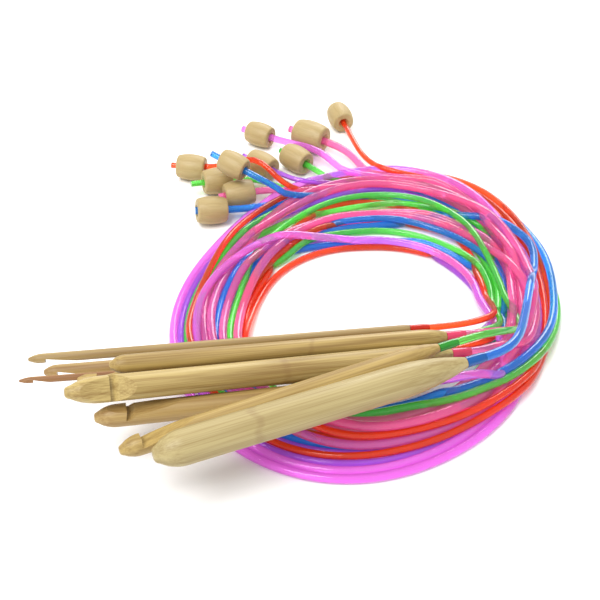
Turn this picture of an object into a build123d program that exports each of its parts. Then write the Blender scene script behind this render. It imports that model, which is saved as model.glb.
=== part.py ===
from build123d import *
import os
from math import sin, cos, tan, radians, pi

# Set of cabled afghan crochet hooks, laid down with all their flexible tubes wound in one
# loose coil. Millimetres, +Z up. The set lies on the plane z = 0. Positions below are given
# on the table from the inside of the coil; layout_centre is the middle of the wooden pieces
# there, and becomes the origin.
layout_centre = (-13.388, 13.048)

# fits and walls
fit_gap = 0.05              # running clearance round a spigot or a tube
tube_grip = 1.15            # stretched tube end over its own diameter
tube_wall = 0.45            # wall of the stretched tube end
spigot_length = 4.6         # turned spigot in the tube end
shoulder_gap = 0.15         # wood shoulder to the tube end
tip_gap = 0.3               # spigot end to the bottom of the tube end
neck_length = 1.6           # tube end narrowing down to the tube

# hook head, as shares of the shaft's diameter
throat_share = 0.45         # depth of the throat
throat_run = 0.16           # length of the throat floor
shelf_run = 0.34            # throat floor up to the shelf
barb_undercut = 10          # degrees, lean of the barb face
nose_blunt = 0.13           # flat of the nose, as a share of the shaft's radius

# coil of all the tubes, wound flat on the table
coil_height = 10.0
coil_edge = 3.0             # rounding of its upper edges
coil_outer = dict(x=21.6, y=-3.0, half_long=76.0, half_wide=63.5, turn=67)
coil_inner = dict(x=22.5, y=-13.5, half_long=40.5, half_wide=38.0, turn=50)

# wooden end beads
bead_length = 11.2
bead_diameter = 10.4
bead_mouth = 4.6            # countersunk mouth of the bead's hole
bead_mouth_depth = 1.2

# One row for each hook: node label, shaft diameter, length, tip point (its height is over the
# top of the coil), heading and dip of the shaft (degrees, from the tip), roll of the barb, its
# tube's diameter, and as shares of the shaft: nose length, place and height of the barb, depth
# of the shelf behind it, and run from the barb back to full diameter.
hooks = [
    dict(label="2mm", size=2.0, length=114.4, tip=(-80.8, -55.8, 8.9), heading=11.1, dip=5.5,
         roll=138, tube=2.0, nose=2.0, barb=2.0, lip=0.8, shelf=0.4, ramp=2.4),
    dict(label="3mm", size=3.0, length=117.2, tip=(-81.2, -43.8, 5.5), heading=9.0, dip=2.4,
         roll=146, tube=2.3, nose=1.45, barb=1.7, lip=0.82, shelf=0.42, ramp=3.4),
    dict(label="3_5mm", size=3.5, length=104.5, tip=(-64.1, -55.5, 9.0), heading=11.4, dip=5.1,
         roll=-42, tube=2.3, nose=1.3, barb=1.6, lip=0.8, shelf=0.36, ramp=2.2),
    dict(label="4mm", size=4.0, length=117.9, tip=(-75.2, -49.9, 6.35), heading=10.1, dip=3.3,
         roll=138, tube=2.4, nose=0.95, barb=1.0, lip=0.8, shelf=0.4, ramp=2.7),
    dict(label="4_5mm", size=4.5, length=103.5, tip=(-60.4, -63.9, 12.8), heading=14.4, dip=8.6,
         roll=10, tube=2.5, nose=1.0, barb=1.3, lip=0.75, shelf=0.3, ramp=2.2),
    dict(label="5_5mm", size=5.5, length=102.3, tip=(-54.0, -56.0, 15.5), heading=13.5, dip=6.5,
         roll=-132, tube=2.8, nose=0.85, barb=1.5, lip=0.75, shelf=0.28, ramp=2.0),
    dict(label="6mm", size=6.0, length=96.7, tip=(-48.2, -82.8, 10.4), heading=23.2, dip=-0.5,
         roll=-17, tube=2.3, nose=0.95, barb=1.05, lip=0.8, shelf=0.4, ramp=2.6),
    dict(label="6_5mm", size=6.5, length=90.1, tip=(-57.0, -70.0, 9.1), heading=12.0, dip=4.0,
         roll=-7, tube=2.8, nose=0.95, barb=1.38, lip=0.74, shelf=0.26, ramp=2.4),
    dict(label="7_5mm", size=7.5, length=115.2, tip=(-63.9, -69.5, 18.7), heading=15.7, dip=8.0,
         roll=48, tube=3.0, nose=1.25, barb=1.62, lip=0.5, shelf=0.3, ramp=0.95),
    dict(label="10mm", size=10.0, length=93.6, tip=(-38.4, -87.2, 13.8), heading=22.7, dip=1.3,
         roll=-142, tube=2.8, nose=0.82, barb=1.4, lip=0.75, shelf=0.24, ramp=1.6),
]

# Each tube from its hook to the coil: its straight start, then hand-laid points.
leads = {
    "2mm": dict(straight=7.1, route=[(51.1, -28.4, 4.9), (58.8, -21.2, 5.6), (64.6, -13.1, 4.8)]),
    "3mm": dict(straight=6.4, route=[(56.2, -20.0, 8.6), (64.6, -15.2, 7.8)]),
    "3_5mm": dict(straight=5.5, route=[(57.1, -28.8, 8.2), (63.0, -23.8, 5.6)]),
    "4mm": dict(straight=4.8, route=[(59.4, -23.2, 8.2), (65.6, -19.3, 6.7)]),
    "4_5mm": dict(straight=4.8, route=[(57.1, -31.5, 4.9), (60.9, -29.0, 3.3)]),
    "5_5mm": dict(straight=4.0, route=[(61.8, -27.0, 11.2), (67.0, -23.2, 7.6)]),
    "6mm": dict(straight=6.4, route=[(59.4, -35.5, 19.0), (67.8, -27.5, 12.4), (71.6, -20.3, 6.9)]),
    "6_5mm": dict(straight=6.0, route=[(54.1, -46.4, 12.8), (63.1, -43.7, 7.6)]),
    "7_5mm": dict(straight=4.0, route=[(64.4, -32.9, 11.6), (72.1, -29.6, 8.2)]),
    "10mm": dict(straight=7.1, route=[(66.0, -38.0, 20.0), (70.0, -26.0, 16.5), (74.0, -12.0, 11.5),
                                      (76.5, -3.0, 8.0)]),
}

# Each bead: the middle of its hole, the hole's heading and dip towards the coil, its size over
# the plain bead's, the cut tube end standing out of it, the straight tube past it, and the
# tube's hand-laid points into the coil.
beads = {
    "2mm": dict(at=(-15.0, 73.5, 5.2), heading=-40.9, dip=0, scale=1.0, stub=4.4, straight=5.0,
                route=[(1.1, 60.3, 6.5)]),
    "3mm": dict(at=(16.8, 109.4, 5.0), heading=-74.6, dip=0, scale=0.96, stub=2.2, straight=8.4,
                route=[(24.5, 81.2, 4.7), (31.0, 68.1, 6.9)]),
    "3_5mm": dict(at=(-42.4, 72.0, 5.2), heading=-9.4, dip=0, scale=0.98, stub=2.6, straight=5.6,
                  route=[(-17.1, 67.1, 14.5), (-5.8, 56.2, 7.4)]),
    "4mm": dict(at=(-1.5, 77.8, 5.2), heading=-43.5, dip=0, scale=1.0, stub=3.0, straight=5.0,
                route=[(13.0, 65.8, 2.3)]),
    "4_5mm": dict(at=(-24.8, 57.2, 16.4), heading=-29.8, dip=10.6, scale=0.92, stub=4.6, straight=5.1,
                  route=[(-8.6, 51.2, 10.2), (-5.0, 50.8, 7.0)]),
    "5_5mm": dict(at=(-23.0, 54.6, 5.2), heading=17.7, dip=0, scale=1.0, stub=2.4, straight=5.0,
                  route=[(-5.0, 56.9, 4.0)]),
    "6mm": dict(at=(-31.8, 62.7, 5.3), heading=18.8, dip=4.5, scale=0.98, stub=4.8, straight=5.0,
                route=[(-11.4, 63.7, 3.5), (-1.9, 59.1, 2.5)]),
    "6_5mm": dict(at=(-16.4, 95.8, 5.0), heading=-29.6, dip=0, scale=0.94, stub=3.0, straight=5.6,
                  route=[(8.4, 81.1, 7.2), (17.6, 67.1, 4.9)]),
    "7_5mm": dict(at=(4.3, 93.0, 6.1), heading=-32.0, dip=0, scale=1.17, stub=3.4, straight=5.2,
                  route=[(21.4, 77.5, 6.4), (26.6, 68.1, 3.6)]),
    "10mm": dict(at=(-32.7, 43.6, 5.5), heading=14.0, dip=8.0, scale=1.0, stub=0.6, straight=5.7,
                 route=[(-17.2, 47.2, 4.2)]),
}


def placed(point):
    """Table point to the set's own frame."""
    return Vector(point[0] - layout_centre[0], point[1] - layout_centre[1], point[2])


def tip_of(hook):
    """Tip of a hook; the hooks lie on the coil, so its height starts from the coil's top."""
    return placed(hook["tip"]) + Vector(0, 0, coil_height)


def axis_of(piece):
    """Unit vector along a hook's shaft or a bead's hole, towards its tube or the coil."""
    heading = radians(piece["heading"])
    dip = radians(piece["dip"])
    return Vector(cos(dip) * cos(heading), cos(dip) * sin(heading), -sin(dip))


def grip_radius(hook):
    """Outside radius of the stretched tube end."""
    return tube_grip * hook["tube"] / 2


def bore_radius(hook):
    """Bore of the stretched tube end."""
    return grip_radius(hook) - min(tube_wall, 0.36 * grip_radius(hook))


def at_shaft(hook, shape):
    """Put a shape drawn along +X from the tip onto the hook's place, barb up its own Z."""
    place = Location(tip_of(hook))
    turn = Location((0, 0, 0), (0, 0, hook["heading"])) * Location((0, 0, 0), (0, hook["dip"], 0))
    return place * turn * Location((0, 0, 0), (hook["roll"], 0, 0)) * shape


def nose_curve(nose, radius, blunt):
    """Rounded, slightly pointed nose."""
    steps = 6
    points = []
    for i in range(steps + 1):
        back = i / steps
        points.append((nose * back, blunt + (radius - blunt) * (1 - (1 - back) ** 1.85) ** 0.66))
    Spline(*reversed(points), tangents=((-1, 0), (0, -1)))


def hook_body(hook):
    """Turned bamboo shaft with its nose, cut throat, tapered rear and spigot."""
    radius = hook["size"] / 2
    nose = hook["nose"] * hook["size"]
    length = hook["length"]
    rear = min(radius, grip_radius(hook))
    taper = 4 * (radius - rear) + 1
    taper = min(taper * 1.6, 26)
    spigot = bore_radius(hook) - fit_gap
    blunt = nose_blunt * radius
    with BuildPart() as body:
        with BuildSketch(Plane.XZ):
            with BuildLine():
                nose_curve(nose, radius, blunt)
                Line((0, blunt), (0, 0))
                Line((0, 0), (length + spigot_length, 0))
                Line((length + spigot_length, 0), (length + spigot_length, spigot))
                Line((length + spigot_length, spigot), (length, spigot))
                Line((length, spigot), (length, rear))
                if radius - rear > 0.01:
                    TangentArc((length - taper, radius), (length, rear), tangent=(1, 0))
                else:
                    Line((length, rear), (length - taper, radius))
                Line((length - taper, radius), (nose, radius))
            make_face()
        revolve(axis=Axis.X)
    shaft = body.part
    return at_shaft(hook, shaft - throat_cutter(hook))


def throat_cutter(hook):
    """Space cut from the upper side: pared head, barb face, throat floor, shelf and long ramp."""
    size = hook["size"]
    radius = size / 2
    barb = hook["barb"] * size
    lip = hook["lip"] * radius
    floor = radius - throat_share * size
    lean = (lip - floor) * tan(radians(barb_undercut))
    shelf = radius - hook["shelf"] * size
    over = radius + 1
    profile = [
        (0.28 * barb, over),
        (0.28 * barb, min(lip + 0.30 * radius, 0.92 * radius)),
        (barb, lip),
        (barb - lean, floor),
        (barb - lean + throat_run * size, floor),
        (barb + shelf_run * size, shelf),
        (barb + hook["ramp"] * size, radius + 0.02),
        (barb + hook["ramp"] * size, over),
    ]
    with BuildPart() as cutter:
        with BuildSketch(Plane.XZ):
            with BuildLine():
                Polyline(*profile, close=True)
            make_face()
        extrude(amount=size, both=True)
    return cutter.part


def sleeve(hook):
    """Tube end stretched over the spigot, narrowing to the tube."""
    start = hook["length"] + shoulder_gap
    bottom = hook["length"] + spigot_length + tip_gap
    end = bottom + neck_length
    outer = grip_radius(hook)
    inner = bore_radius(hook)
    tube = hook["tube"] / 2
    with BuildPart() as body:
        with BuildSketch(Plane.XZ):
            with BuildLine():
                Polyline((start, inner), (bottom, inner), (bottom, 0), (end, 0), (end, tube),
                         (bottom, outer), (start, outer), close=True)
            make_face()
        revolve(axis=Axis.X)
    return at_shaft(hook, body.part)


def sleeve_end(hook):
    """Where the tube leaves the stretched end."""
    return hook["length"] + spigot_length + tip_gap + neck_length


def laid_tube(points, diameter, name):
    """Tube along straight runs and tangent arcs, each arc as large as its runs allow."""
    points = [Vector(p) for p in points]
    radii = []
    for before, corner, after in zip(points, points[1:], points[2:]):
        half_turn = (corner - before).get_angle(after - corner) / 2
        run = min((corner - before).length, (after - corner).length)
        radii.append(0.45 * run / tan(radians(half_turn)))
    path = FilletPolyline(*points, radius=radii)
    section = Plane(origin=points[0], z_dir=points[1] - points[0]) * Circle(diameter / 2)
    tube = sweep(section, path=path)
    ideal = pi * diameter ** 2 / 4 * path.length
    print(f"{name}: length {path.length:.1f}, arc radii {[round(r, 1) for r in radii]}, "
          f"volume ratio {tube.volume / ideal:.4f}")
    return tube


def lead(hook):
    """Tube from the stretched end into the coil."""
    axis = axis_of(hook)
    start = tip_of(hook) + axis * sleeve_end(hook)
    laid = leads[hook["label"]]
    first = start + axis * laid["straight"]
    route = [start, first] + [placed(p) for p in laid["route"]]
    return laid_tube(route, hook["tube"], f"lead_{hook['label']}")


def tail(hook):
    """Tube from its cut end through the bead and into the coil."""
    bead = beads[hook["label"]]
    axis = axis_of(bead)
    half = bead["scale"] * bead_length / 2
    middle = placed(bead["at"])
    cut_end = middle - axis * (half + bead["stub"])
    leave = middle + axis * (half + bead["straight"])
    route = [cut_end, leave] + [placed(p) for p in bead["route"]]
    return laid_tube(route, hook["tube"], f"tail_{hook['label']}")


def bead_body(hook):
    """Barrel bead with a countersunk through hole."""
    bead = beads[hook["label"]]
    half = bead["scale"] * bead_length / 2
    radius = bead["scale"] * bead_diameter / 2
    face = 0.70 * radius
    edge = 0.86 * radius
    hole = hook["tube"] / 2 + fit_gap
    mouth = bead["scale"] * bead_mouth / 2
    with BuildPart() as body:
        with BuildSketch(Plane.XZ):
            with BuildLine():
                ThreePointArc((-half * 0.9, edge), (0, radius), (half * 0.9, edge))
                ThreePointArc((half * 0.9, edge), (half * 0.975, (edge + face) / 2 + 0.1), (half, face))
                Line((half, face), (half, mouth))
                Line((half, mouth), (half - bead_mouth_depth, hole))
                Line((half - bead_mouth_depth, hole), (bead_mouth_depth - half, hole))
                Line((bead_mouth_depth - half, hole), (-half, mouth))
                Line((-half, mouth), (-half, face))
                ThreePointArc((-half, face), (-half * 0.975, (edge + face) / 2 + 0.1), (-half * 0.9, edge))
            make_face()
        revolve(axis=Axis.X)
    turn = Location((0, 0, 0), (0, 0, bead["heading"])) * Location((0, 0, 0), (0, bead["dip"], 0))
    return Location(placed(bead["at"])) * turn * body.part


def coil():
    """Outer shape of all the wound turns: a flat, slightly oval ring with rounded upper edges."""
    with BuildPart() as ring:
        with BuildSketch():
            for oval, mode in ((coil_outer, Mode.ADD), (coil_inner, Mode.SUBTRACT)):
                centre = placed((oval["x"], oval["y"], 0))
                with Locations(Location(centre, (0, 0, oval["turn"]))):
                    Ellipse(oval["half_long"], oval["half_wide"], mode=mode)
        extrude(amount=coil_height)
        fillet(ring.faces().sort_by(Axis.Z)[-1].edges(), coil_edge)
    return ring.part


os.makedirs("parts", exist_ok=True)
pieces = {"cord_coil": coil()}
for hook in hooks:
    label = hook["label"]
    pieces[f"hook_{label}"] = hook_body(hook)
    pieces[f"sleeve_{label}"] = sleeve(hook)
    pieces[f"lead_{label}"] = lead(hook)
    pieces[f"tail_{label}"] = tail(hook)
    pieces[f"bead_{label}"] = bead_body(hook)
for node, shape in pieces.items():
    export_step(shape, f"parts/{node}.step")
print(f"{len(pieces)} nodes written")
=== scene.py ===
import bmesh
import bpy
import math
import numpy as np
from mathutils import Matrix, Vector


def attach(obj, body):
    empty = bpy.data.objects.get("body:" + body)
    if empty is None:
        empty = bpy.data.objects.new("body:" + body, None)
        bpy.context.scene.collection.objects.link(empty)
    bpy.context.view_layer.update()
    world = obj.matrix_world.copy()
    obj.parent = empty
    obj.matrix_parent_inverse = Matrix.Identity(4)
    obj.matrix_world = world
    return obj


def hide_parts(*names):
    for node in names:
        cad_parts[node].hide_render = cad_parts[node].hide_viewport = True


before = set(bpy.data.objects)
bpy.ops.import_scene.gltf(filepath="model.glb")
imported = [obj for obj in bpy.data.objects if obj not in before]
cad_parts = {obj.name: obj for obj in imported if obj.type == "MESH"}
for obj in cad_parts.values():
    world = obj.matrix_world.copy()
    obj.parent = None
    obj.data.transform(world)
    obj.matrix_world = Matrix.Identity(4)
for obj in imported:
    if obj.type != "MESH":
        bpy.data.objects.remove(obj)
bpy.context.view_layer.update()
layoutCentre = (-13.388, 13.048)  # mm on the table, where the set's own zero lies


def inSet(point):  # table millimetres to the set's own metres
    return Vector((point[0] - layoutCentre[0], point[1] - layoutCentre[1], point[2])) / 1000


# camera: three quarter height, straight over the hooks
cameraSetup = {"place": (0.0, -253.87, 228.58), "lookDown": 42.0, "lens": 60.0}
cameraData = bpy.data.cameras.new("camera")
cameraData.lens = cameraSetup["lens"]
cameraData.sensor_width = 36
cameraData.clip_start = 0.01
camera = bpy.data.objects.new("camera", cameraData)
camera.location = inSet(cameraSetup["place"])
camera.rotation_euler = (math.radians(90 - cameraSetup["lookDown"]), 0, 0)
bpy.context.scene.collection.objects.link(camera)
bpy.context.scene.camera = camera
bpy.context.scene.view_settings.view_transform = "Standard"
print("camera placed")

# one row for each hook and its tube; millimetres on the table, degrees; tip is the end of the hook's head
hookSet = {
    "2mm": dict(length=114.4, tip=(-80.8, -55.8, 18.9), heading=11.1, dip=5.5,
                roll=138, tube=2.0, colour="violet"),
    "3mm": dict(length=117.2, tip=(-81.2, -43.8, 15.5), heading=9.0, dip=2.4,
                roll=146, tube=2.3, colour="red"),
    "3_5mm": dict(length=104.5, tip=(-64.1, -55.5, 19.0), heading=11.4, dip=5.1,
                  roll=-42, tube=2.3, colour="red"),
    "4mm": dict(length=117.9, tip=(-75.2, -49.9, 16.35), heading=10.1, dip=3.3,
                roll=138, tube=2.4, colour="green"),
    "4_5mm": dict(length=103.5, tip=(-60.4, -63.9, 22.8), heading=14.4, dip=8.6,
                  roll=10, tube=2.5, colour="blue"),
    "5_5mm": dict(length=102.3, tip=(-54.0, -56.0, 25.5), heading=13.5, dip=6.5,
                  roll=-132, tube=2.8, colour="pink"),
    "6mm": dict(length=96.7, tip=(-48.2, -82.8, 20.4), heading=23.2, dip=-0.5,
                roll=-17, tube=2.3, colour="green"),
    "6_5mm": dict(length=90.1, tip=(-57.0, -70.0, 19.1), heading=12.0, dip=4.0,
                  roll=-7, tube=2.8, colour="magenta"),
    "7_5mm": dict(length=115.2, tip=(-63.9, -69.5, 28.7), heading=15.7, dip=8.0,
                  roll=48, tube=3.0, colour="pink"),
    "10mm": dict(length=93.6, tip=(-38.4, -87.2, 23.8), heading=22.7, dip=1.3,
                 roll=-142, tube=2.8, colour="blue"),
}
tubeEnd = {"spigot": 4.6, "tipGap": 0.3, "neck": 1.6}  # what lies between a shaft and its free tube

# each tube: its straight start at the hook, points listed as far as the coil, its lane (0 on the
# inner oval, 1 on the outer) and level (mm) at every quarter turn, where it joins and leaves the coil
# (degrees round), and the points on to its bead
tubeRoutes = {
    "2mm": dict(straight=7.1, lead=[(51.1, -28.4, 4.9), (58.8, -21.2, 5.6), (64.6, -13.1, 4.8)],
                lanes=[0.02, 0.1, 0.6, 0.62, 0.6, 0.7, 0.86, 0.72, 0.55, 0.95],
                levels=[0, 1, 1, 1, 1, 2, 2, 2, 2, 2],
                turn=(10, 812), tail=[(1.1, 60.3, 6.5)]),
    "3mm": dict(straight=6.4, lead=[(56.2, -20.0, 8.6), (64.6, -15.2, 7.8)],
                lanes=[0.1, 0.63, 0.05, 0.16, 0.66, 0.3, 0.12, 0.45, 0.86, 1.0],
                levels=[1, 1, 2, 3, 3, 4, 5, 7, 8, 12],
                turn=(8, 786), tail=[(31.0, 68.1, 6.9), (24.5, 81.2, 4.7)]),
    "3_5mm": dict(straight=5.5, lead=[(57.1, -28.8, 8.2), (63.0, -23.8, 5.6)],
                  lanes=[0.1, 0.03, 0.02, 0.45, 0.84, 0.97, 0.7, 0.62, 0.92, 1.0],
                  levels=[2, 2, 3, 4, 6, 7, 8, 9, 8, 15],
                  turn=(-4, 826), tail=[(-5.8, 56.2, 7.4), (-17.1, 67.1, 14.5)]),
    "4mm": dict(straight=4.8, lead=[(59.4, -23.2, 8.2), (65.6, -19.3, 6.7)],
                lanes=[0.15, 0.22, 0.18, 0.22, 1.0, 0.8, 0.78, 0.28, 0.3, 0.92],
                levels=[3, 4, 5, 10, 9, 3, 9, 3, 2, 2],
                turn=(2, 802), tail=[(13.0, 65.8, 2.3)]),
    "4_5mm": dict(straight=4.8, lead=[(57.1, -31.5, 4.9), (60.9, -29.0, 3.3)],
                  lanes=[0.45, 0.3, 0.42, 0.5, 0.3, 0.02, 0.5, 0.3, 0.55, 0.8],
                  levels=[4, 4, 4, 4, 3, 3, 2, 1, 1, 1],
                  turn=(-12, 820), tail=[(-5.0, 50.8, 7.0), (-8.6, 51.2, 10.2)]),
    "5_5mm": dict(straight=4.0, lead=[(61.8, -27.0, 11.2), (67.0, -23.2, 7.6)],
                  lanes=[0.55, 0.4, 0.3, 0.55, 0.5, 0.85, 0.48, 0.35, 0.5, 0.8],
                  levels=[5, 9, 8, 7, 7, 9, 8, 6, 6, 6],
                  turn=(0, 818), tail=[(-5.0, 56.9, 4.0)]),
    "6mm": dict(straight=6.4, lead=[(59.4, -35.5, 19.0), (67.8, -27.5, 12.4), (71.6, -20.3, 6.9)],
                lanes=[0.3, 0.62, 0.22, 0.25, 0.7, 0.55, 0.88, 0.2, 0.28, 0.6],
                levels=[9, 14, 6, 5, 5, 4, 4, 3, 3, 3],
                turn=(4, 815), tail=[(-1.9, 59.1, 2.5), (-11.4, 63.7, 3.5)]),
    "6_5mm": dict(straight=6.0, lead=[(54.1, -46.4, 12.8), (63.1, -43.7, 7.6)],
                  lanes=[0.05, 0.02, 0.62, 1.0, 0.6, 0.95, 0.92, 1.0, 0.62, 0.98],
                  levels=[7, 9, 9, 9, 6, 9, 10, 9, 6, 8],
                  turn=(-24, 798), tail=[(17.6, 67.1, 4.9), (8.4, 81.1, 7.2)]),
    "7_5mm": dict(straight=4.0, lead=[(64.4, -32.9, 11.6), (72.1, -29.6, 8.2)],
                  lanes=[0.5, 0.35, 0.1, 0.4, 0.6, 0.72, 0.62, 0.3, 0.45, 0.95],
                  levels=[8, 10, 9, 8, 8, 10, 8, 7, 7, 7],
                  turn=(-8, 790), tail=[(26.6, 68.1, 3.6), (21.4, 77.5, 6.4)]),
    "10mm": dict(straight=7.1, lead=[(66.0, -38.0, 20.0), (70.0, -26.0, 16.5),
                                     (74.0, -12.0, 13.2), (76.5, -3.0, 12.6)],
                 lanes=[1.06, 0.28, 0.35, 0.02, 1.0, 1.0, 0.5, 0.3, 0.45, 0.7],
                 levels=[15, 3, 2, 13, 16, 5, 1, 1, 0, 0], settle=26,
                 turn=(12, 835), tail=[(-17.2, 47.2, 4.2)]),
}
# each bead: middle of its hole, heading and dip of the hole, size, cut tube end past it (stub) and
# straight tube before it
beadSet = {
    "2mm": dict(at=(-15.0, 73.5, 5.2), heading=-40.9, dip=0, scale=1.0,
                stub=4.4, straight=5.0),
    "3mm": dict(at=(16.8, 109.4, 5.0), heading=-74.6, dip=0, scale=0.96,
                stub=2.2, straight=8.4),
    "3_5mm": dict(at=(-42.4, 72.0, 5.2), heading=-9.4, dip=0, scale=0.98,
                  stub=2.6, straight=5.6),
    "4mm": dict(at=(-1.5, 77.8, 5.2), heading=-43.5, dip=0, scale=1.0,
                stub=3.0, straight=5.0),
    "4_5mm": dict(at=(-24.8, 57.2, 16.4), heading=-29.8, dip=10.6, scale=0.92,
                  stub=4.6, straight=5.1),
    "5_5mm": dict(at=(-23.0, 54.6, 5.2), heading=17.7, dip=0, scale=1.0,
                  stub=2.4, straight=5.0),
    "6mm": dict(at=(-31.8, 62.7, 5.3), heading=18.8, dip=4.5, scale=0.98,
                stub=4.8, straight=5.0),
    "6_5mm": dict(at=(-16.4, 95.8, 5.0), heading=-29.6, dip=0, scale=0.94,
                  stub=3.0, straight=5.6),
    "7_5mm": dict(at=(4.3, 93.0, 6.1), heading=-32.0, dip=0, scale=1.17,
                  stub=3.4, straight=5.2),
    "10mm": dict(at=(-32.7, 43.6, 5.5), heading=14.0, dip=8.0, scale=1.0,
                 stub=0.6, straight=5.7),
}
beadLength = 11.2


def axisOf(piece):  # unit vector along a shaft or a bead's hole
    heading, dip = math.radians(piece["heading"]), math.radians(piece["dip"])
    return Vector((math.cos(dip) * math.cos(heading), math.cos(dip) * math.sin(heading), -math.sin(dip)))


# the coil: turns lie in lanes between an inner and an outer oval and settle on each other
coilSetup = {
    "centre": (23.0, -9.0),
    "inner": dict(at=(22.5, -13.5), half=(42.0, 39.5), turn=50),
    "outer": dict(at=(22.3, -1.6), half=(76.6, 60.8), turn=67),
    "stepDegrees": 5,
    "lowest": 1.5,  # height of level 0
    "joinArc": 50, "leaveArc": 45,  # degrees over which a tube settles into its lane and leaves it
    "gap": 0.02,
    "roof": 14.5, "hookRoof": 9.6,  # the coil stays under the second where hooks lie over it
    "hookArc": (165, 318),
}
# how the strands settle: rounds in all, and how many at the end only smooth them
settling = {"rounds": 400, "softEnd": 60, "push": 0.25, "press": 0.06, "pull": 0.03,
            "smooth": 0.35, "softSmooth": 0.12, "floorGap": 0.05}


def ovalRadius(oval, angle):  # distance from the coil's centre to an oval, along an angle
    turn = math.radians(oval["turn"])
    across, up = coilSetup["centre"][0] - oval["at"][0], coilSetup["centre"][1] - oval["at"][1]
    ox, oy = across * math.cos(turn) + up * math.sin(turn), up * math.cos(turn) - across * math.sin(turn)
    dx, dy = math.cos(angle - turn), math.sin(angle - turn)
    rx, ry = oval["half"]
    a = (dx / rx) ** 2 + (dy / ry) ** 2
    b = 2 * (ox * dx / rx ** 2 + oy * dy / ry ** 2)
    c = (ox / rx) ** 2 + (oy / ry) ** 2 - 1
    return (math.sqrt(b * b - 4 * a * c) - b) / (2 * a)


def eased(t):  # 0 to 1 with a soft start and end
    t = max(0, min(1.0, t))
    return t ** 2 * (3 - 2 * t)


def laneAt(lanes, degreesRound):  # smooth change of lane from one quarter turn to the next
    quarter = max(0.0, min(len(lanes) - 1.001, degreesRound / 90))
    i = int(quarter)
    t = eased(quarter - i)
    return lanes[i] * (1 - t) + lanes[i + 1] * t


def polar(point):  # distance, degrees round the coil's centre, height
    x, y = point[0] - coilSetup["centre"][0], point[1] - coilSetup["centre"][1]
    return math.hypot(x, y), math.degrees(math.atan2(y, x)), point[2]


def layTurns():  # where each tube wants to lie, station by station round the coil
    step = coilSetup["stepDegrees"]
    laid = []
    for label, route in tubeRoutes.items():
        radius = hookSet[label]["tube"] / 2
        inR, inAngle, inZ = polar(route["lead"][-1])
        outR, outAngle, outZ = polar(route["tail"][0])
        first, last = math.ceil(route["turn"][0] / step), math.floor(route["turn"][1] / step)
        wanted = []
        for station in range(first, last + 1):
            degreesRound = station * step
            angle = math.radians(degreesRound)
            lane = laneAt(route["lanes"], degreesRound)
            inner, outer = ovalRadius(coilSetup["inner"], angle), ovalRadius(coilSetup["outer"], angle)
            r = inner + (outer - inner) * lane
            fromIn = eased((degreesRound - inAngle) / route.get("settle", coilSetup["joinArc"]))
            fromOut = eased((outAngle + 720 - degreesRound) / coilSetup["leaveArc"])
            r = inR * (1 - fromIn) + r * fromIn
            r = outR * (1 - fromOut) + r * fromOut
            z = coilSetup["lowest"] + laneAt(route["levels"], degreesRound)
            z = inZ * (1 - fromIn) + z * fromIn
            z = outZ * (1 - fromOut) + z * fromOut
            wanted.append((station, r, z))
        laid.append(dict(label=label, radius=radius, wanted=wanted))
    return laid


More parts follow.
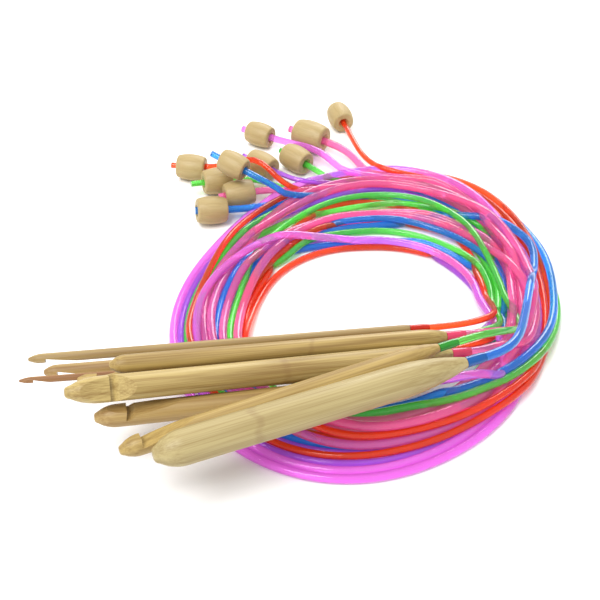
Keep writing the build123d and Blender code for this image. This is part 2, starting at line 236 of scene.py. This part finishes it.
def settleTurns(laid):  # push touching strands apart, press them down and keep each one smooth
    perTurn = 360 // coilSetup["stepDegrees"]
    slots = 4  # of one tube at a station: before zero degrees, two whole turns, the start of a third
    count = len(laid) * slots
    aimR = np.full((perTurn, count), np.nan)
    z = np.full((perTurn, count), np.nan)
    radius = np.zeros(count)
    for c, cord in enumerate(laid):
        radius[c * slots:(c + 1) * slots] = cord["radius"]
        for station, r, height in cord["wanted"]:
            aimR[station % perTurn, c * slots + station // perTurn + 1] = r
            z[station % perTurn, c * slots + station // perTurn + 1] = height
    here = ~np.isnan(aimR)
    r = np.where(here, aimR, -1000.0 - 50 * np.arange(count)[None, :])  # empty places stay far away
    aimR = np.where(here, aimR, r)
    z = np.where(here, z, 0.0)
    lowArc = coilSetup["hookArc"]
    roofs = [coilSetup["hookRoof"] if lowArc[0] <= s * coilSetup["stepDegrees"] <= lowArc[1]
             else coilSetup["roof"] for s in range(perTurn)]
    roof = np.array(roofs)[:, None]
    reach = radius[:, None] + radius[None, :] + coilSetup["gap"]
    notSelf = ~np.eye(count, dtype=bool)
    for done in range(settling["rounds"]):
        ending = done >= settling["rounds"] - settling["softEnd"]
        for again in range(2):
            dr, dz = r[:, :, None] - r[:, None, :], z[:, :, None] - z[:, None, :]
            apart = np.sqrt(dr * dr + dz * dz) + 1e-9
            push = np.clip(reach - apart, 0, None) * notSelf * settling["push"]
            r += np.where(here, (push * dr / apart).sum(2), 0)
            z += np.where(here, (push * dz / apart).sum(2), 0)
        if not ending:
            z -= settling["press"]
            r += settling["pull"] * (aimR - r)
        share = settling["softSmooth"] if ending else settling["smooth"]
        for c in range(len(laid)):
            stations = [s for s, _, _ in laid[c]["wanted"]]
            rows = np.array([s % perTurn for s in stations])
            cols = np.array([c * slots + s // perTurn + 1 for s in stations])
            line, off = z[rows, cols], (r - aimR)[rows, cols]
            line[1:-1] += share * ((line[:-2] + line[2:]) / 2 - line[1:-1])
            off[1:-1] += share * ((off[:-2] + off[2:]) / 2 - off[1:-1])
            z[rows, cols] = line
            r[rows, cols] = aimR[rows, cols] + off
        z = np.clip(z, radius[None, :] + settling["floorGap"], roof - radius[None, :])
    apart = np.sqrt((r[:, :, None] - r[:, None, :]) ** 2 + (z[:, :, None] - z[:, None, :]) ** 2)
    worst = (np.clip(reach - apart, 0, None) * notSelf * here[:, :, None] * here[:, None, :]).max()
    highest = (z + radius)[here].max()
    print(f"coil settled, highest {float(highest):.1f} mm, deepest touch {float(worst):.2f} mm")
    turns = {}
    for c, cord in enumerate(laid):
        points = []
        for station, _, _ in cord["wanted"]:
            row, col = station % perTurn, c * slots + station // perTurn + 1
            angle = math.radians(station * coilSetup["stepDegrees"])
            points.append((coilSetup["centre"][0] + r[row, col] * math.cos(angle),
                           coilSetup["centre"][1] + r[row, col] * math.sin(angle), float(z[row, col])))
        turns[cord["label"]] = points
    return turns


def newLine(name, points, radius):  # smooth cord through its laid points
    curve = bpy.data.curves.new(name, "CURVE")
    curve.dimensions = "3D"
    curve.resolution_u = 4
    curve.bevel_depth = radius
    curve.bevel_resolution = 3
    curve.use_fill_caps = True
    spline = curve.splines.new("NURBS")
    spline.points.add(len(points) - 1)
    for spot, point in zip(spline.points, points):
        spot.co = (*point, 1)
    spline.order_u = 3
    spline.use_endpoint_u = True
    line = bpy.data.objects.new(name, curve)
    bpy.context.scene.collection.objects.link(line)
    return line


def lengthOf(points):  # metres along a tube's points
    return sum((b - a).length for a, b in zip(points, points[1:]))


# shader helpers
def addNode(tree, kind, values=None, **settings):
    node = tree.nodes.new(kind)
    for key, value in settings.items():
        setattr(node, key, value)
    for key, value in (values or {}).items():
        node.inputs[key].default_value = value
    return node


def noiseOver(tree, vector, stretch, **values):  # noise drawn out along the piece
    stretched = addNode(tree, "ShaderNodeMapping", {"Scale": stretch})
    tree.links.new(vector, stretched.inputs["Vector"])
    noise = addNode(tree, "ShaderNodeTexNoise", {"Scale": 1.0, **values})
    tree.links.new(stretched.outputs["Vector"], noise.inputs["Vector"])
    return noise


def newMaterial(name):
    material = bpy.data.materials.new(name)
    material.use_nodes = True
    return material, material.node_tree, material.node_tree.nodes["Principled BSDF"]


def dress(nodeName, material):  # gives a CAD node its one material
    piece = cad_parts[nodeName]
    piece.data.materials.clear()
    piece.data.materials.append(material)


# shared effect: wood with fine lengthwise fibres, along the X of the incoming vector (metres)
woodGrain = bpy.data.node_groups.new("woodGrain", "ShaderNodeTree")
for name, kind in (("Vector", "NodeSocketVector"), ("Pale", "NodeSocketColor"), ("Deep", "NodeSocketColor"),
                   ("Line", "NodeSocketFloat"), ("Line Width", "NodeSocketFloat")):
    woodGrain.interface.new_socket(name, in_out="INPUT", socket_type=kind)
for name, kind in (("Color", "NodeSocketColor"), ("Roughness", "NodeSocketFloat"),
                   ("Height", "NodeSocketFloat")):
    woodGrain.interface.new_socket(name, in_out="OUTPUT", socket_type=kind)
inside = addNode(woodGrain, "NodeGroupInput")
outside = addNode(woodGrain, "NodeGroupOutput")
link = woodGrain.links.new
fibres = noiseOver(woodGrain, inside.outputs["Vector"], (28, 2400, 2400), Detail=3.0, Roughness=0.6)
broad = noiseOver(woodGrain, inside.outputs["Vector"], (22, 420, 420), Detail=2.0)
blend = addNode(woodGrain, "ShaderNodeMath", {1: 0.5}, operation="MULTIPLY")
link(fibres.outputs["Fac"], blend.inputs[0])
blended = addNode(woodGrain, "ShaderNodeMath", {1: 0.5}, operation="MULTIPLY_ADD")
link(broad.outputs["Fac"], blended.inputs[0])
link(blend.outputs["Value"], blended.inputs[2])
spread = addNode(woodGrain, "ShaderNodeMapRange", {"From Min": 0.36, "From Max": 0.62})
link(blended.outputs["Value"], spread.inputs["Value"])
wood = addNode(woodGrain, "ShaderNodeMix", data_type="RGBA")
link(spread.outputs["Result"], wood.inputs["Factor"])
link(inside.outputs["Deep"], wood.inputs[6])
link(inside.outputs["Pale"], wood.inputs[7])
# growth line: a darker ring at one place along the cane, a little wavy
along = addNode(woodGrain, "ShaderNodeSeparateXYZ")
link(inside.outputs["Vector"], along.inputs["Vector"])
wobble = noiseOver(woodGrain, inside.outputs["Vector"], (90, 260, 260), Detail=2.0)
shift = addNode(woodGrain, "ShaderNodeMath", {1: 0.005}, operation="MULTIPLY_ADD")
link(wobble.outputs["Fac"], shift.inputs[0])
link(along.outputs["X"], shift.inputs[2])
fromLine = addNode(woodGrain, "ShaderNodeMath", operation="SUBTRACT")
link(shift.outputs["Value"], fromLine.inputs[0])
link(inside.outputs["Line"], fromLine.inputs[1])
offLine = addNode(woodGrain, "ShaderNodeMath", operation="ABSOLUTE")
link(fromLine.outputs["Value"], offLine.inputs[0])
lineShare = addNode(woodGrain, "ShaderNodeMath", operation="DIVIDE")
link(offLine.outputs["Value"], lineShare.inputs[0])
link(inside.outputs["Line Width"], lineShare.inputs[1])
onLine = addNode(woodGrain, "ShaderNodeMapRange",
                 {"From Min": 0.3, "From Max": 1.0, "To Min": 0.22, "To Max": 0.0})
link(lineShare.outputs["Value"], onLine.inputs["Value"])
lined = addNode(woodGrain, "ShaderNodeMix", {7: (0.16, 0.07, 0.02, 1)}, data_type="RGBA")
link(onLine.outputs["Result"], lined.inputs["Factor"])
link(wood.outputs[2], lined.inputs[6])
link(lined.outputs[2], outside.inputs["Color"])
rough = addNode(woodGrain, "ShaderNodeMapRange", {"To Min": 0.62, "To Max": 0.45})
link(spread.outputs["Result"], rough.inputs["Value"])
link(rough.outputs["Result"], outside.inputs["Roughness"])
link(blended.outputs["Value"], outside.inputs["Height"])


def woodMaterial(name, place, turn, look):  # wood whose fibres follow one shaft or one bead's hole
    material, tree, shader = newMaterial(name)
    coords = addNode(tree, "ShaderNodeTexCoord")
    frameMap = addNode(tree, "ShaderNodeMapping", {"Location": place, "Rotation": turn},
                       vector_type="TEXTURE")
    tree.links.new(coords.outputs["Object"], frameMap.inputs["Vector"])
    grain = addNode(tree, "ShaderNodeGroup", node_tree=woodGrain)
    grain.inputs["Pale"].default_value = (*look["pale"], 1)
    grain.inputs["Deep"].default_value = (*look["deep"], 1)
    grain.inputs["Line"].default_value = look["line"]
    grain.inputs["Line Width"].default_value = look["lineWidth"]
    tree.links.new(frameMap.outputs["Vector"], grain.inputs["Vector"])
    bump = addNode(tree, "ShaderNodeBump", {"Strength": look["bump"], "Distance": 0.0002})
    tree.links.new(grain.outputs["Height"], bump.inputs["Height"])
    tree.links.new(grain.outputs["Color"], shader.inputs["Base Color"])
    tree.links.new(grain.outputs["Roughness"], shader.inputs["Roughness"])
    tree.links.new(bump.outputs["Normal"], shader.inputs["Normal"])
    shader.inputs["Coat Weight"].default_value = look["coat"]
    shader.inputs["Coat Roughness"].default_value = 0.35
    return material


# bamboo of the hooks, a little different on each; line is a growth line, metres from the tip
bambooLook = {"pale": (0.45, 0.315, 0.10), "deep": (0.24, 0.145, 0.035), "line": 1.0, "lineWidth": 0.0012,
              "bump": 0.35, "coat": 0.12}
bambooChanges = {
    "2mm": dict(pale=(0.33, 0.17, 0.055), deep=(0.19, 0.075, 0.02)),
    "3mm": dict(pale=(0.38, 0.27, 0.105), deep=(0.24, 0.145, 0.045)),
    "4mm": dict(pale=(0.38, 0.25, 0.09), deep=(0.23, 0.125, 0.037)),
    "5_5mm": dict(line=0.062),
    "7_5mm": dict(pale=(0.50, 0.375, 0.135), line=0.064, lineWidth=0.0016),
    "10mm": dict(pale=(0.43, 0.345, 0.155), deep=(0.29, 0.21, 0.075), line=0.031, lineWidth=0.0016),
    "6_5mm": dict(pale=(0.42, 0.285, 0.10), deep=(0.25, 0.14, 0.036)),
}
# pale wood of the beads
beadLook = {"pale": (0.46, 0.345, 0.155), "deep": (0.37, 0.265, 0.105), "line": 1.0, "lineWidth": 0.001,
            "bump": 0.2, "coat": 0.05}
for label, hook in hookSet.items():
    look = {**bambooLook, **bambooChanges.get(label, {})}
    turn = tuple(math.radians(hook[key]) for key in ("roll", "dip", "heading"))
    dress("hook_" + label, woodMaterial("bamboo_" + label, inSet(hook["tip"]), turn, look))
    bead = beadSet[label]
    turn = (0, math.radians(bead["dip"]), math.radians(bead["heading"]))
    dress("bead_" + label, woodMaterial("beadWood_" + label, inSet(bead["at"]), turn, beadLook))
print("wood finished")

# see-through coloured plastic with a faint painted glow and painted shade towards its outline, deeper where
# a tube end is stretched over its spigot
tubeColours = {
    "red": (1.0, 0.10, 0.02), "violet": (0.58, 0.20, 0.90), "green": (0.18, 0.86, 0.13),
    "blue": (0.04, 0.34, 0.93), "pink": (1.0, 0.22, 0.52), "magenta": (0.96, 0.29, 0.93),
}
# the two edge values set the painted shade towards a tube's outline; the glow is a painted glow in the
# plastic's own colour
tubeFinish = {"through": 0.76, "roughness": 0.06, "ior": 1.28, "coat": 0.45,
              "coatRoughness": 0.04, "paintedGlow": 0.08, "endThrough": 0.35, "paintedEdgeShadeBlend": 0.35, "paintedEdgeShadeDepth": 0.62}
endColours = {
    "red": (0.60, 0.02, 0.003), "violet": (0.36, 0.08, 0.55), "green": (0.03, 0.33, 0.03),
    "blue": (0.005, 0.12, 0.42), "pink": (0.80, 0.06, 0.16), "magenta": (0.55, 0.05, 0.45),
}


def tubeMaterial(name, colour, through):  # plastic with painted shade towards its outline, set by how its surface faces the camera, and a faint painted glow
    material, tree, shader = newMaterial(name)
    # painted shade: the base colour turns deeper and darker where the surface turns away from the camera,
    # towards the tube's outline
    facing = addNode(tree, "ShaderNodeLayerWeight", {"Blend": tubeFinish["paintedEdgeShadeBlend"]})
    colourWithPaintedEdgeShade = addNode(tree, "ShaderNodeMix", data_type="RGBA")
    colourWithPaintedEdgeShade.inputs[6].default_value = (*colour, 1)
    colourWithPaintedEdgeShade.inputs[7].default_value = (*(tubeFinish["paintedEdgeShadeDepth"] * channel ** 1.35 for channel in colour), 1)
    tree.links.new(facing.outputs["Facing"], colourWithPaintedEdgeShade.inputs["Factor"])
    tree.links.new(colourWithPaintedEdgeShade.outputs[2], shader.inputs["Base Color"])
    shader.inputs["Roughness"].default_value = tubeFinish["roughness"]
    shader.inputs["Transmission Weight"].default_value = through
    shader.inputs["IOR"].default_value = tubeFinish["ior"]
    # painted glow: the plastic gives off a little light of its own colour, though it is no lamp
    tree.links.new(colourWithPaintedEdgeShade.outputs[2], shader.inputs["Emission Color"])
    shader.inputs["Emission Strength"].default_value = tubeFinish["paintedGlow"]
    shader.inputs["Coat Weight"].default_value = tubeFinish["coat"]
    shader.inputs["Coat Roughness"].default_value = tubeFinish["coatRoughness"]
    return material


tubeMaterials = {name: tubeMaterial("tube_" + name, colour, tubeFinish["through"])
                 for name, colour in tubeColours.items()}
endMaterials = {name: tubeMaterial("tubeEnd_" + name, colour, tubeFinish["endThrough"])
                for name, colour in endColours.items()}
for label, hook in hookSet.items():
    dress("sleeve_" + label, endMaterials[hook["colour"]])
print("tube ends finished")

turns = settleTurns(layTurns())
for label, route in tubeRoutes.items():
    hook, bead = hookSet[label], beadSet[label]
    axis = axisOf(hook)
    away = hook["length"] + tubeEnd["spigot"] + tubeEnd["tipGap"] + tubeEnd["neck"]
    start = Vector(hook["tip"]) + axis * away
    holeAxis = axisOf(bead)
    half = bead["scale"] * beadLength / 2
    middle = Vector(bead["at"])
    points = [start, start + axis * route["straight"]]
    points += [Vector(p) for p in (*route["lead"], *turns[label], *route["tail"])]
    points += [middle + holeAxis * (half + bead["straight"]), middle - holeAxis * (half + bead["stub"])]
    points = [inSet(p) for p in points]
    tube = newLine("tube_" + label, points, hook["tube"] / 2000)
    tube.data.materials.append(tubeMaterials[hook["colour"]])
    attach(tube, "coil")
    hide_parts("lead_" + label, "tail_" + label, "cord_coil")
    print(f"tube_{label}: {lengthOf(points):.3f} m")
print("tubes laid")

# plain floor
floorSetup = {"half": 3.0, "colour": (0.96, 0.96, 0.96), "roughness": 0.8}
floorMesh = bpy.data.meshes.new("floor")
floorShape = bmesh.new()
bmesh.ops.create_grid(floorShape, x_segments=1, y_segments=1, size=floorSetup["half"])
floorShape.to_mesh(floorMesh)
floorShape.free()
floor = bpy.data.objects.new("floor", floorMesh)
bpy.context.scene.collection.objects.link(floor)
floorMaterial, _, floorShader = newMaterial("floor")
floorShader.inputs["Base Color"].default_value = (*floorSetup["colour"], 1)
floorShader.inputs["Roughness"].default_value = floorSetup["roughness"]
floorMesh.materials.append(floorMaterial)

# even studio light from a white room and two soft lamps
lightSetup = {"room": 0.85, "key": 8.0, "back": 5.0}
world = bpy.data.worlds.new("studio")
world.use_nodes = True
world.node_tree.nodes["Background"].inputs["Color"].default_value = (1, 1, 1, 1)
world.node_tree.nodes["Background"].inputs["Strength"].default_value = lightSetup["room"]
bpy.context.scene.world = world


def softLight(name, place, size, power):  # round lamp aimed at the set
    data = bpy.data.lights.new(name, "AREA")
    data.shape = "DISK"
    data.size = size
    data.energy = power
    light = bpy.data.objects.new(name, data)
    light.location = place
    light.rotation_euler = (-Vector(place)).to_track_quat("-Z", "Y").to_euler()
    bpy.context.scene.collection.objects.link(light)


softLight("keyLight", (-0.3, -0.3, 0.9), 0.6, lightSetup["key"])
softLight("backLight", (0.2, 0.8, 0.5), 0.5, lightSetup["back"])
print("lights placed")

bpy.context.view_layer.update()
